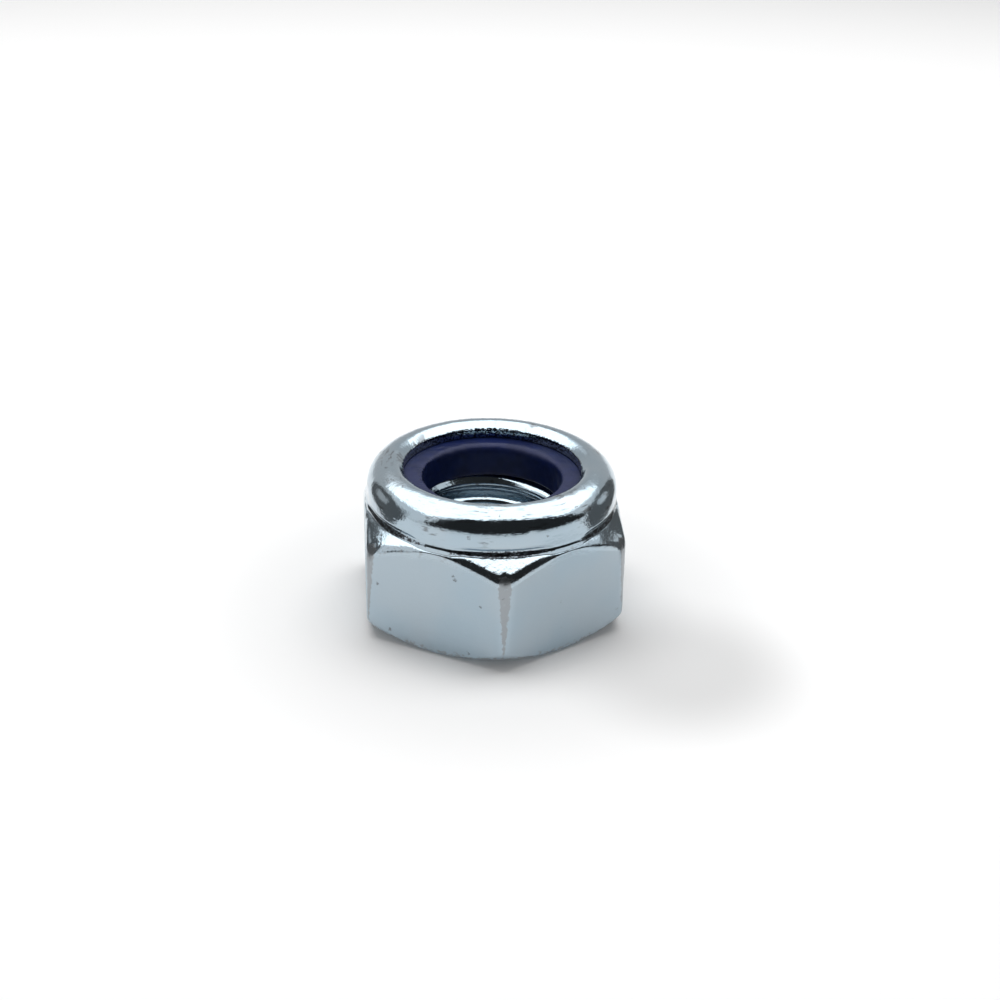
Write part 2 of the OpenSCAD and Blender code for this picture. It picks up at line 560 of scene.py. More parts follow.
@dataclass(frozen=True)
class ZincPlate:
    """Bright zinc plating with a pale blue passivation, over steel that was forged, rolled and tumbled.

    Attributes:
        blue: Colour where the passivation is thick.
        warm: Colour where it is thin.
        coarse: Colour on the coarse skin of the corners.
        coarse_limits: Shares in the mesh at which it starts and is full.
        sheared_and_shade: Colour on the sheared edge of the lip, under it and in the neck's groove. It is
            near black, so it is also painted shade under the rolled lip and in the groove.
        raggedness: How far the clouds shift either edge.
        dull: Colour of the dull streaks and of the pits.
        roughness: Lowest and highest roughness of the smooth skin.
        grain_mm: Size of the finest unevenness.
        peel_mm: Size of the coarser unevenness.
        pit_spacing_mm: Usual distance from one pit to the next.
        pit_edge: Where a pit's edge starts and ends, in such distances from its middle.
        pit_raggedness: How far they shift it.
        pit_share: Share of the dull colour in a pit.
        streak_mm: Width of the streaks that the rolling left round the collar.
        streak_clouds: Clouds of the dull streaks, in their own widths.
        streak_places: Clouds of the places that have dull streaks.
    """

    blue: Colour = (0.375, 0.465, 0.530)
    warm: Colour = (0.405, 0.475, 0.525)
    warm_share: float = 0.8
    tint_clouds: Clouds = Clouds(5.0, 2.0, 0.35, 0.65)
    coarse: Colour = (0.300, 0.325, 0.345)
    coarse_clouds: Clouds = Clouds(0.30, 4.0, 0.3, 0.7)
    coarse_limits: Pair = (0.30, 0.80)
    sheared_and_shade: Colour = (0.060, 0.066, 0.076)
    sheared_and_shade_clouds: Clouds = Clouds(0.15, 3.0, 0.3, 0.7)
    sheared_and_shade_limits: Pair = (0.40, 0.60)
    raggedness: float = 0.35
    dull: Colour = (0.15, 0.16, 0.17)
    roughness: Pair = (0.06, 0.13)
    gloss_clouds: Clouds = Clouds(1.5, 3.0, 0.3, 0.7)
    coarse_roughness: float = 0.28
    satin_roughness: float = 0.38
    grain_mm: float = 0.22
    grain_depth_mm: float = 0.012
    peel_mm: float = 1.1
    peel_depth_mm: float = 0.014
    pit_spacing_mm: float = 1.8
    pit_edge: Pair = (0.05, 0.09)
    pit_clouds: Clouds = Clouds(0.12, 1.0, 0.3, 0.7)
    pit_raggedness: float = 0.035
    pit_share: float = 0.75
    streak_mm: float = 0.13
    streak_depth_mm: float = 0.005
    streak_clouds: Clouds = Clouds(ONE_WIDTH, 3.0, 0.52, 0.66)
    streak_share: float = 0.8
    streak_places: Clouds = Clouds(2.4, 1.0, 0.46, 0.60)

    def ragged(self, sheet: Shader, place: Socket, mark: Socket, clouds: Clouds, limits: Pair) -> Socket:
        """Share of a skin, with a ragged edge.

        Args:
            sheet: The material's nodes.
            place: Output that gives the place in metres.
            mark: Output of the skin's share in the mesh.
            clouds: Clouds that make the edge ragged.
            limits: Shares at which the skin starts and is full.

        Returns:
            The share's output.
        """
        shift = sheet.cloudy(place, clouds, -self.raggedness, self.raggedness)
        return sheet.spread(sheet.join("ADD", mark, shift), *limits, 0.0, 1.0)

    def streaks(self, sheet: Shader, place: Socket, rolled: Socket) -> Socket:
        """Share of the dull streaks that the rolling left.

        Args:
            sheet: The material's nodes.
            place: Output that gives the place in metres.
            rolled: Output that is 1 on the rolled collar.

        Returns:
            The output of the share.
        """
        round_about = sheet.round_about(place, 2.0 * self.streak_mm)
        fine = sheet.cloudy(round_about, self.streak_clouds, 0.0, self.streak_share)
        where = sheet.cloudy(place, self.streak_places, 0.0, 1.0)
        return sheet.join("MULTIPLY", sheet.join("MULTIPLY", fine, where), rolled)

    def pits(self, sheet: Shader, place: Socket) -> Socket:
        """Share of the small dull pits that tumbling left.

        Args:
            sheet: The material's nodes.
            place: Output that gives the place in metres.

        Returns:
            The share's output.
        """
        cells = sheet.node("TexVoronoi")
        cells.inputs["Scale"].default_value = 1.0 / (self.pit_spacing_mm * MM)
        sheet.link(place, cells.inputs["Vector"])
        shift = sheet.cloudy(place, self.pit_clouds, -self.pit_raggedness, self.pit_raggedness)
        distance = sheet.join("ADD", cells.outputs["Distance"], shift)
        return sheet.spread(distance, *self.pit_edge, self.pit_share, 0.0)

    def material(self) -> bpy.types.Material:
        """Makes the material."""
        made, sheet = Shader.new_material("zinc_plate")
        place = sheet.node("TexCoord").outputs["Object"]
        surface = sheet.node("BsdfPrincipled")
        surface.inputs["Metallic"].default_value = 1.0
        skin = sheet.node("Attribute", attribute_name=SKIN, attribute_type="GEOMETRY")
        satin = sheet.node("Attribute", attribute_name=SATIN, attribute_type="GEOMETRY")
        marks = sheet.node("SeparateXYZ")
        sheet.link(skin.outputs["Vector"], marks.inputs[0])
        rolled = marks.outputs["Z"]
        coarse = self.ragged(sheet, place, marks.outputs["X"], self.coarse_clouds, self.coarse_limits)
        sheared_and_shade = self.ragged(sheet, place, marks.outputs["Y"], self.sheared_and_shade_clouds, self.sheared_and_shade_limits)

        tint = sheet.cloudy(place, self.tint_clouds, 0.0, self.warm_share)
        plate = sheet.mix(coarse, sheet.mix(tint, self.blue, self.warm), self.coarse)
        plate = sheet.mix(self.streaks(sheet, place, rolled), plate, self.dull)
        plate = sheet.mix(self.pits(sheet, place), plate, self.dull)
        # The near-black sheared colour is partly the cut edge's own colour. It is also painted shade under
        # the rolled lip and in the neck's groove.
        sheet.link(sheet.mix(sheared_and_shade, plate, self.sheared_and_shade), surface.inputs["Base Color"])
        smooth = sheet.cloudy(place, self.gloss_clouds, *self.roughness)
        drawn = sheet.mix(satin.outputs["Fac"], smooth, self.satin_roughness)
        sheet.link(sheet.mix(coarse, drawn, self.coarse_roughness), surface.inputs["Roughness"])

        peel = sheet.bump(sheet.noise(place, self.peel_mm, 1.0), self.peel_depth_mm)
        lines = sheet.noise(sheet.round_about(place, self.streak_mm), ONE_WIDTH, 2.0)
        lines = sheet.bump(sheet.join("MULTIPLY", lines, rolled), self.streak_depth_mm, peel)
        grain = sheet.bump(sheet.noise(place, self.grain_mm, 3.0), self.grain_depth_mm, lines)
        sheet.link(grain, surface.inputs["Normal"])
        sheet.end(surface.outputs["BSDF"])
        return made


@dataclass(frozen=True)
class DyedNylon:
    """Dark violet-blue nylon with a soft moulded gloss.

    Attributes:
        deep: Colour where the dye has drawn together.
        gloss: Strength of the mirroring, where 0.5 is that of glass.
        roughness: Lowest and highest roughness.
    """

    dye: Colour = (0.0060, 0.0125, 0.064)
    deep: Colour = (0.0045, 0.0095, 0.047)
    dye_clouds: Clouds = Clouds(1.2, 2.0, 0.35, 0.65)
    gloss: float = 0.20
    roughness: Pair = (0.30, 0.40)
    gloss_clouds: Clouds = Clouds(1.2, 2.0, 0.3, 0.7)
    grain_mm: float = 0.25
    grain_depth_mm: float = 0.004

    def material(self) -> bpy.types.Material:
        """Makes the material."""
        made, sheet = Shader.new_material("dyed_nylon")
        place = sheet.node("TexCoord").outputs["Object"]
        surface = sheet.node("BsdfPrincipled")
        surface.inputs["Specular IOR Level"].default_value = self.gloss
        share = sheet.cloudy(place, self.dye_clouds, 0.0, 1.0)
        sheet.link(sheet.mix(share, self.dye, self.deep), surface.inputs["Base Color"])
        sheet.link(sheet.cloudy(place, self.gloss_clouds, *self.roughness), surface.inputs["Roughness"])
        grain = sheet.bump(sheet.noise(place, self.grain_mm, 2.0), self.grain_depth_mm)
        sheet.link(grain, surface.inputs["Normal"])
        sheet.end(surface.outputs["BSDF"])
        return made


@dataclass(frozen=True)
class Nick:
    """A small dent in the steel.

    Attributes:
        azimuth_deg: Place round the axis.
        height: Height over the bearing face.
        width: Width across.
        depth: Depth in its middle.
    """

    azimuth_deg: float
    height: float
    width: float
    depth: float


NICKS = (
    Nick(-88.5, 0.65, 0.35, 0.05),
    Nick(-78.5, 0.40, 0.40, 0.07),
    Nick(-67.5, 0.35, 0.30, 0.05),
    Nick(-107.0, 0.30, 0.40, 0.05),
    Nick(-122.5, 0.30, 0.35, 0.06),
    Nick(-133.0, 0.45, 0.30, 0.04),
    Nick(-47.0, 0.45, 0.35, 0.05),
    Nick(-78.3, 9.95, 0.40, 0.030),
    Nick(-86.0, 10.25, 0.35, 0.014),
    Nick(-81.0, 10.45, 0.40, 0.016),
    Nick(15.0, 0.20, 0.40, 0.06),
    Nick(52.0, 0.15, 0.35, 0.05),
    Nick(97.0, 0.60, 0.45, 0.05),
    Nick(141.0, 0.35, 0.40, 0.05),
    Nick(168.0, 0.15, 0.30, 0.04),
)

# Rows of points over one flank of the thread, in pitches from the middle of its root
FLANK_ROWS = (-0.5, -0.44, -0.375, -0.345, -0.31, -0.25, -0.18, -0.12, -0.085, -0.0625)


@dataclass(frozen=True)
class SkinShares:
    """Where each skin of the steel lies, and its share in the mesh there. The sheared shares also lay
    painted shade.

    Attributes:
        gap_full: Missing metal at a corner from which its skin is fully coarse.
        under: Coarse share on the chamfer of the bearing side.
        brow: Coarse share on the crown's edge.
        tip: Coarse share that the tip of a corner adds.
        brow_reach: Distance over which these two fade.
        lip: Sheared share on the lip's edge, which is also painted shade under the rolled lip.
        lip_reach: Distance over which it fades.
        sheared_and_shade_below_lip: Sheared share below that edge, which is painted shade on the wall under
            the rolled lip.
        groove: Sheared share in the neck's groove, which is partly painted shade in the groove.
        groove_half: Half of that patch's height at a corner.
        groove_sink: How far its middle lies under the groove's bottom.
        groove_blur: Height over which it fades.
        rolled_rise: Height over which the rolled skin comes in.
        satin_drop: How far under the crown's edge the satin skin starts.
        satin_rise: Height over which it comes in.
    """

    gap_full: float = 0.12
    under: float = 0.6
    brow: float = 0.30
    tip: float = 0.25
    brow_reach: float = 0.45
    lip: float = 0.62
    lip_reach: float = 0.09
    sheared_and_shade_below_lip: float = 0.48
    groove: float = 0.62
    groove_half: float = 0.24
    groove_sink: float = 0.23
    groove_blur: float = 0.06
    rolled_rise: float = 0.4
    satin_drop: float = 0.25
    satin_rise: float = 0.3


@dataclass
class SteelBody:
    """Hexagon, crown, rolled collar and tapped bore of the nut, as one closed surface.

    The width and height come from the CAD part's frame. The fields from flat_height to shoulder_r
    have the CAD part's sizes; those that follow are shaped here alone. A field ending in _round is the
    rounding of the named edge, and one ending in _blend the width over which two surfaces meet.

    Attributes:
        corner_softness: Width over which the rounded corners blend into the flats.
        lead_out: Height of the chamfer over the thread.
        thread_start_turns: Where the thread starts, in turns.
        crest_sink: What crest_blend adds to the crest's radius, taken off before.
        ring_edge: Width of the ring of faces round the bore's upper end.
        neck_reach_deg: How far the changes of the neck reach from the middle of a flat.
        neck_width: What they add to the neck's radius.
        neck_rise: What they add to the bead's height.
        bead_lean: How far they tip the bead's upper edge inwards.
        groove_fill: How far they bring the groove out past the barrel.
        groove_drop: How far they lower the groove.
        barrel_drop: How far they lower the barrel's foot.
        groove_reach_deg: How far the sheared patch in the groove reaches from a corner.
        tip_reach_deg: How far the tip of a corner reaches from it.
        corner_crowding: How much closer together the columns are at the corners, from 0 to 1.
        brow_shares: Places between the middle of a flat, 0, and a corner, 1.
        brow_rounds: Rounding of the crown's edge at each of them.
        foot_rounds: Rounding of the bearing chamfer's edge on a flat and at a corner.
        seat_insets: How far inside the bearing face's edge the outer and the inner surface end.
        floor_insets: How far inside the pocket's wall they end on its floor.
        brow_hold: Share of its shorter side that the crown's edge may take for its rounding.
    """

    across_flats: float
    height: float
    finish: ZincPlate
    flat_height: float = 8.25
    bearing_inset: float = 0.3
    bearing_slope_deg: float = 34.0
    crown_slope_deg: float = 40.0
    corner_gap_top: float = 0.35
    corner_gap_base: float = 0.08
    thread_d: float = 12.0
    pitch: float = 1.75
    countersink_d: float = 13.4
    mouth_bevel: float = 0.3
    collar_inset: float = 0.2
    bend_r: float = 1.85
    lip_round: float = 0.85
    lip_slope_deg: float = 40.0
    opening_d: float = 13.2
    collar_wall: float = 1.3
    bead_height: float = 0.1
    groove_depth: float = 0.12
    groove_low: float = 0.36
    groove_high: float = 0.24
    ring_height: float = 2.6
    ring_sunk: float = 1.2
    shoulder_r: float = 1.1
    corner_softness: float = 0.18
    lead_out: float = 0.75
    lead_out_slope_deg: float = 54.0
    thread_start_turns: float = 0.29
    root_blend: float = 0.06
    crest_blend: float = 0.6
    crest_sink: float = 0.027
    mouth_blend: float = 0.06
    lead_out_blend: float = 0.02
    mouth_round: float = 0.2
    ring_edge: float = 0.006
    neck_reach_deg: float = 11.0
    neck_width: float = 0.12
    neck_rise: float = 0.22
    bead_lean: float = 0.02
    groove_fill: float = 0.03
    groove_drop: float = 0.08
    barrel_drop: float = 0.20
    groove_reach_deg: float = 27.0
    tip_reach_deg: float = 2.2
    columns: int = 528
    corner_crowding: float = 0.45
    brow_shares: tuple[float, ...] = (0.0, 0.1, 0.35, 0.7, 0.85, 1.0)
    brow_rounds: tuple[float, ...] = (0.45, 1.05, 1.2, 1.25, 1.25, 1.8)
    foot_rounds: Pair = (0.15, 1.0)
    seat_insets: Pair = (1.6, 2.0)
    floor_insets: Pair = (0.8, 1.2)
    skin_waves: Waviness = Waviness(0.012, 40, 2.5, 24, 7)
    foot_waves: Waviness = Waviness(0.07, 190, 0.6, 40, 11)
    lip_waves: Waviness = Waviness(0.03, 150, 0.5, 40, 9)
    seat_round: float = 0.3
    brow_hold: float = 0.88
    neck_round: float = 0.08
    bead_round: float = 0.10
    groove_round: float = 0.20
    barrel_round: float = 0.5
    lip_edge_round: float = 0.07
    lip_foot_round: float = 0.14
    foot_wave_reach: float = 0.16
    lip_wave_reach: float = 0.08
    shares: SkinShares = SkinShares()

    def __post_init__(self) -> None:
        """Works out the radii and heights that follow from the sizes."""
        self.flat_r = self.across_flats / 2.0
        self.corner_r = self.flat_r / math.cos(math.radians(30.0))
        self.bearing_r = self.flat_r - self.bearing_inset
        self.collar_r = self.flat_r - self.collar_inset
        self.bead_z = self.crown_z(self.collar_r) + self.bead_height
        self.groove_z = self.bead_z + self.groove_low
        self.barrel_z = self.groove_z + self.groove_high
        self.low_corner_r = self.corner_r - self.corner_gap_base
        self.high_corner_r = self.corner_r - self.corner_gap_top
        self.crest_r = self.collar_r - self.bend_r
        self.bend_z = self.height - self.bend_r
        self.lip_r = self.opening_d / 2.0
        slope = math.radians(self.lip_slope_deg)
        turned_r = self.crest_r - self.lip_round * math.sin(slope)
        turned_z = self.height - self.lip_round * (1.0 - math.cos(slope))
        self.lip_edge_z = turned_z - (turned_r - self.lip_r) * math.tan(slope)
        self.face_z = self.height - self.ring_sunk
        self.floor_z = self.face_z - self.ring_height
        self.pocket_r = self.collar_r - self.collar_wall
        self.minor_r = self.thread_d / 2.0 - 0.5413 * self.pitch
        self.mouth_r = self.countersink_d / 2.0
        self.mouth_z = self.mouth_bevel * math.tan(math.radians(22.5))

    def crown_z(self, radius: float | np.ndarray) -> float | np.ndarray:
        """Height of the crown's slope at a radius."""
        return self.flat_height - (radius - self.flat_r) * math.tan(math.radians(self.crown_slope_deg))

    def bearing_chamfer_z(self, radius: float | np.ndarray) -> float | np.ndarray:
        """Height of the bearing side's chamfer at a radius."""
        return (radius - self.bearing_r) * math.tan(math.radians(self.bearing_slope_deg))

    def column_angles(self) -> np.ndarray:
        """Angles of the columns, closer together at the hexagon's corners."""
        even = np.linspace(0.0, FULL_TURN, self.columns, endpoint=False)
        return even - self.corner_crowding / 6.0 * np.sin(6.0 * (even - math.radians(30.0)))

    def from_flat(self, angle: np.ndarray) -> np.ndarray:
        """Angle from the middle of the nearest flat, in radians."""
        return (angle + math.pi / 6.0) % (math.pi / 3.0) - math.pi / 6.0

    def from_corner_deg(self, angle: np.ndarray) -> np.ndarray:
        """Degrees from each angle to the nearest corner, from 0 to 30."""
        return 30.0 - np.abs(np.degrees(self.from_flat(angle)))

    def hexagon_radius(self, angle: np.ndarray) -> np.ndarray:
        """Distance from the axis to the sharp hexagon at each angle."""
        return self.flat_r / np.cos(self.from_flat(angle))

    def blunt_radius(self, angle: np.ndarray, corner_r: float | np.ndarray) -> np.ndarray:
        """Distance from the axis to the hexagon with its corners rounded off at a radius."""
        return soft_min(self.hexagon_radius(angle), corner_r, self.corner_softness)

    def corner_radius(self, height: float | np.ndarray) -> float | np.ndarray:
        """Distance from the axis to the rounded corners, which grow a little less upwards.

        Args:
            height: Height over the bearing face.

        Returns:
            The distance at each height.
        """
        low_z = self.bearing_chamfer_z(self.low_corner_r)
        high_z = self.crown_z(self.high_corner_r)
        share = np.clip((height - low_z) / (high_z - low_z), 0.0, 1.0)
        return self.low_corner_r + share * (self.high_corner_r - self.low_corner_r)

    def flat_share(self, angle: np.ndarray) -> np.ndarray:
        """How near each angle is to the middle of a flat, from 0 to 1."""
        return bell(30.0 - self.from_corner_deg(angle), self.neck_reach_deg, 4)

    def corner_share(self, angle: np.ndarray) -> np.ndarray:
        """How near each angle is to a corner, from 0 at the middle of a flat to 1."""
        return (self.hexagon_radius(angle) - self.flat_r) / (self.corner_r - self.flat_r)

    def outer_section(self, angle: np.ndarray) -> np.ndarray:
        """Section from the bearing face over the hexagon and the rim to the pocket's floor.

        Args:
            angle: Angle of each column.

        Returns:
            Rows by columns by (radius, height).
        """
        count = len(angle)
        low = self.blunt_radius(angle, self.low_corner_r)
        high = self.blunt_radius(angle, self.high_corner_r)
        near_corner = self.corner_share(angle)
        near_flat = self.flat_share(angle)
        seat = at(self.bearing_r - self.seat_insets[0], 0.0, count)
        bearing = at(self.bearing_r, 0.0, count)
        foot = at(low, self.bearing_chamfer_z(low), count)
        brow = at(high, self.crown_z(high), count)
        neck_r = self.collar_r + self.neck_width * near_flat
        neck_z = self.crown_z(neck_r)
        neck = at(neck_r, neck_z, count)
        bead_z = neck_z + self.bead_height + self.neck_rise * near_flat
        bead = at(neck_r - self.bead_lean * near_flat, bead_z, count)
        groove_r = self.collar_r - self.groove_depth + (self.groove_depth + self.groove_fill) * near_flat
        groove = at(groove_r, self.groove_z - self.groove_drop * near_flat, count)
        barrel = at(self.collar_r, self.barrel_z - self.barrel_drop * near_flat, count)
        bend = at(self.collar_r, self.bend_z, count)
        lip_edge = at(self.lip_r, self.lip_edge_z, count)
        lip = at(self.lip_r, self.face_z, count)
        shoulder = at(self.pocket_r - self.shoulder_r, self.face_z, count)
        wall = at(self.pocket_r, self.face_z - self.shoulder_r, count)
        corner = at(self.pocket_r, self.floor_z, count)
        floor = at(self.pocket_r - self.floor_insets[0], self.floor_z, count)
        brow_round = np.interp(near_corner, self.brow_shares, self.brow_rounds)
        flat_round, corner_round = self.foot_rounds
        foot_round = flat_round + (corner_round - flat_round) * near_corner**2
        crest_arc = arc(at(self.crest_r, self.bend_z, count), self.bend_r, 0.0, 90.0, 24)
        lip_centre = at(self.crest_r, self.height - self.lip_round, count)
        # The crest's arc ends at 90 degrees, so this one starts a step further on
        inner_arc = arc(lip_centre, self.lip_round, 94.0, 90.0 + self.lip_slope_deg, 10)

        curves = [
            rounded(seat, bearing, foot, self.seat_round, 4),
            rounded(bearing, foot, brow, foot_round, 9),
            rounded(foot, brow, neck, brow_round, 12, hold=self.brow_hold),
            rounded(brow, neck, bead, self.neck_round, 3),
            rounded(neck, bead, groove, self.bead_round, 4),
            rounded(bead, groove, barrel, self.groove_round, 6),
            rounded(groove, barrel, bend, self.barrel_round, 5),
            crest_arc,
            inner_arc,
            rounded(inner_arc[-1], lip_edge, lip, self.lip_edge_round, 5),
            rounded(lip_edge, lip, shoulder, self.lip_foot_round, 5),
            arc(shoulder - [0.0, self.shoulder_r], self.shoulder_r, 90.0, 0.0, 6),
        ]
        # Rows of points between each curve and the next
        gaps = (3, 16, 6, 0, 2, 1, 1, 0, 4, 4, 1)
        side = run(curves[1][-1], curves[2][0], gaps[1])
        side[..., 0] = self.blunt_radius(angle, self.corner_radius(side[..., 1]))
        rows = [seat[None], run(seat, curves[0][0], 2)]
        for index, curve in enumerate(curves):
            rows.append(curve)
            if index < len(gaps):
                rows.append(side if index == 1 else run(curve[-1], curves[index + 1][0], gaps[index]))
        rows += [run(wall, corner, 2), corner[None], floor[None]]
        return np.concatenate(rows)

    def worn(self, section: np.ndarray, angle: np.ndarray) -> np.ndarray:
        """Presses the unevenness of forming and tumbling into a section.

        Args:
            section: Rows by columns by (radius, height).
            angle: Angle of each column.

        Returns:
            The section with dents, nowhere above the old one.
        """
        travel = section_travel(section)
        exposed = (section[..., 1] > 0.02) & (section[..., 0] > self.lip_r + 0.01)
        depth = self.skin_waves.depth_at(angle, travel) * exposed
        foot_r = self.blunt_radius(angle, self.low_corner_r)
        off_foot = away(section, foot_r, self.bearing_chamfer_z(foot_r))
        depth += self.foot_waves.depth_at(angle, travel) * bell(off_foot, self.foot_wave_reach)
        off_lip = away(section, self.lip_r, self.lip_edge_z)
        depth += self.lip_waves.depth_at(angle, travel) * bell(off_lip, self.lip_wave_reach)
        outer_side = section[..., 0] > self.bearing_r - 0.3
        for nick in NICKS:
            across = (angle - math.radians(nick.azimuth_deg) + math.pi) % FULL_TURN - math.pi
            off_nick = np.hypot(across * section[..., 0], section[..., 1] - nick.height)
            depth += nick.depth * bell(2.0 * off_nick, nick.width) * outer_side
        return section - section_normals(section) * depth[..., None]

    def skin(self, section: np.ndarray, angle: np.ndarray) -> np.ndarray:
        """State of the skin, as forging, drawing and rolling left it, with painted shade laid into its
        sheared share.

        It is coarse where the die wasn't filled, sheared on the lip's edge and in the neck's groove,
        rolled on the collar and satin on the flats. The sheared share is near black. On the lip's edge,
        down the wall under the rolled lip and in the groove, it is therefore also painted shade.

        Args:
            section: Rows by columns by (radius, height).
            angle: Angle of each column.

        Returns:
            Shares of coarse, sheared, rolled and satin skin, rows by columns by four; the sheared share
            also holds painted shade.
        """
        shares = self.shares
        radius, height = section[..., 0], section[..., 1]
        hexagon = self.hexagon_radius(angle)
        gap = hexagon - self.corner_radius(height)
        below_crown = (height < self.crown_z(radius) - 0.05) & (radius > self.flat_r)
        under = (height < self.bearing_chamfer_z(radius) + 0.1) & (height > 0.02)
        coarse = np.maximum(np.clip(gap / shares.gap_full, 0.0, 1.0), shares.under * under) * below_crown
        brow_r = np.minimum(hexagon, self.high_corner_r)
        at_brow = bell(away(section, brow_r, self.crown_z(brow_r)), shares.brow_reach)
        from_corner = self.from_corner_deg(angle)
        brow_share = shares.brow + shares.tip * bell(from_corner, self.tip_reach_deg)
        coarse = np.maximum(coarse, brow_share * at_brow)

        # Painted shade: the near-black sheared share on the lip's edge and down the wall under the rolled
        # lip stands for the shade there as well as for the rough cut.
        at_lip = bell(away(section, self.lip_r, self.lip_edge_z), shares.lip_reach)
        sheared_and_shade_below_lip = (height < self.lip_edge_z) * (radius < self.lip_r + 0.05) * (height > self.face_z - 0.3)
        sheared_and_shade = np.maximum(shares.lip * at_lip, shares.sheared_and_shade_below_lip * sheared_and_shade_below_lip)
        # Partly painted shade: a near-black sheared patch in the neck's groove near the corners, where the
        # groove lies in shade.
        half = shares.groove_half * np.clip(1.0 - (from_corner / self.groove_reach_deg) ** 2, 0.0, 1.0)
        off_middle = np.abs(height - (self.groove_z - shares.groove_sink))
        groove_sheared_and_shade = np.clip((half - off_middle) / shares.groove_blur + 0.5, 0.0, 1.0)
        groove_sheared_and_shade = groove_sheared_and_shade * (radius > self.pocket_r) * (half > 0.0)
        sheared_and_shade = np.maximum(sheared_and_shade, shares.groove * groove_sheared_and_shade)

        risen = np.clip((height - self.barrel_z) / shares.rolled_rise, 0.0, 1.0)
        rolled = risen * (radius > self.lip_r + 0.05)
        below_brow = self.crown_z(hexagon) - shares.satin_drop - height
        satin = np.clip(below_brow / shares.satin_rise, 0.0, 1.0) * (radius > self.bearing_r)
        return np.stack([coarse, sheared_and_shade, rolled, satin], axis=-1)

    def thread_radius(self, turns: np.ndarray) -> np.ndarray:
        """Radius of the thread's surface.

        Args:
            turns: Place across the thread, in pitches from the middle of a root.

        Returns:
            Radii between the minor and the major one.
        """
        major_r = self.thread_d / 2.0
        from_root = np.abs((turns + 0.5) % 1.0 - 0.5) * self.pitch
        flank = major_r - (from_root - self.pitch / 16.0) * math.sqrt(3.0)
        groove = soft_min(flank, major_r, self.root_blend)
        return soft_max(groove, self.minor_r - self.crest_sink, self.crest_blend)

    def bore_radius(self, height: np.ndarray, turns: np.ndarray) -> np.ndarray:
        """Radius of the open bore: thread, countersink and upper chamfer, whichever reaches furthest.

        Args:
            height: Height over the bearing face.
            turns: Place across the thread, in pitches.

        Returns:
            Radii of the bore's wall.
        """
        countersink = self.mouth_r - (height - self.mouth_z)
        into_chamfer = self.lead_out - (self.floor_z - height)
        chamfer = self.minor_r + into_chamfer / math.tan(math.radians(self.lead_out_slope_deg))
        opened = soft_max(self.thread_radius(turns), countersink, self.mouth_blend)
        return soft_max(opened, chamfer, self.lead_out_blend)

    def thread_base(self) -> float:
        """Height at which the thread starts at angle 0."""
        return self.mouth_z + self.pitch * (self.thread_start_turns - 0.5)

    def level_radius(self, level: float, angle: np.ndarray) -> np.ndarray:
        """Radius of the open bore at one level and each angle."""
        turns = (level - self.thread_base()) / self.pitch + 0.5 - angle / FULL_TURN
        return self.bore_radius(np.full(len(angle), level), turns)

    def add_bore(self, surface: Surface, angle: np.ndarray) -> tuple[np.ndarray, np.ndarray]:
        """Adds the tapped bore, as a grid whose rows climb with the thread.

        Rows below the mouth and above the floor are drawn together on the end rings.

        Args:
            surface: Surface that takes the points and faces.
            angle: Angle of each column.

        Returns:
            Point numbers of the lower and of the upper end ring.
        """
        pitches = math.ceil((self.floor_z - self.mouth_z) / self.pitch) + 2
        flank = np.array(FLANK_ROWS)
        one_pitch = np.concatenate([flank, [0.0], -flank[:0:-1]])
        rows = (one_pitch[None, :] + np.arange(pitches)[:, None]).ravel()
        climb = angle / FULL_TURN
        height = self.thread_base() - self.pitch + self.pitch * (rows[:, None] + 0.5 + climb[None, :])
        turns = np.broadcast_to(rows[:, None], height.shape)
        section = np.stack([self.bore_radius(height, turns), height], axis=-1)
        numbers = surface.add(section, angle)
        ends = []
        for level in (self.mouth_z, self.floor_z):
            ring = at(self.level_radius(level, angle), level, len(angle))
            ends.append(surface.add(ring[None], angle)[0])
        lower, upper = ends
        numbers = np.where(height <= self.mouth_z, lower[None, :], numbers)
        numbers = np.where(height >= self.floor_z, upper[None, :], numbers)
        per_pitch = len(one_pitch)
        following = np.roll(numbers, -1, axis=1)
        following[:-per_pitch, -1] = numbers[per_pitch:, 0]
        following[-per_pitch:, -1] = upper[0]
        corners = [numbers[1:], following[1:], following[:-1], numbers[:-1]]
        surface.add_quads(np.stack(corners, axis=-1).reshape(-1, 4))
        return lower, upper

    def build(self) -> bpy.types.Object:
        """Builds the steel body and sets it in place of its CAD node."""
        surface = Surface()
        angle = self.column_angles()
        inner_angle = angle[::2]
        half = len(inner_angle)
        section = self.outer_section(angle)
        outer = surface.add(self.worn(section, angle), angle, self.skin(section, angle))
        surface.join(outer)
        lower, upper = self.add_bore(surface, inner_angle)
        floor = surface.add(at(self.pocket_r - self.floor_insets[1], self.floor_z, half)[None], inner_angle)
        edge_r = self.level_radius(self.floor_z, inner_angle) + self.ring_edge
        edge = surface.add(at(edge_r, self.floor_z, half)[None], inner_angle)
        surface.join(np.concatenate([floor, edge, upper[None]]))
        surface.widen(floor[0], outer[-1], False)
        bevel = at(self.mouth_r + self.mouth_bevel, 0.0, half)
        face = at(self.bearing_r - self.seat_insets[1], 0.0, half)
        mouth_edge = rounded(at(self.mouth_r, self.mouth_z, half), bevel, face, self.mouth_round, 4)
        mouth = surface.add(np.concatenate([mouth_edge, face[None]]), inner_angle)
        surface.join(np.concatenate([lower[None], mouth]))
        surface.widen(mouth[-1], outer[0], True)
        piece = surface.make_object("lock_nut_body", self.finish.material())
        return dress(piece, Node.BODY)


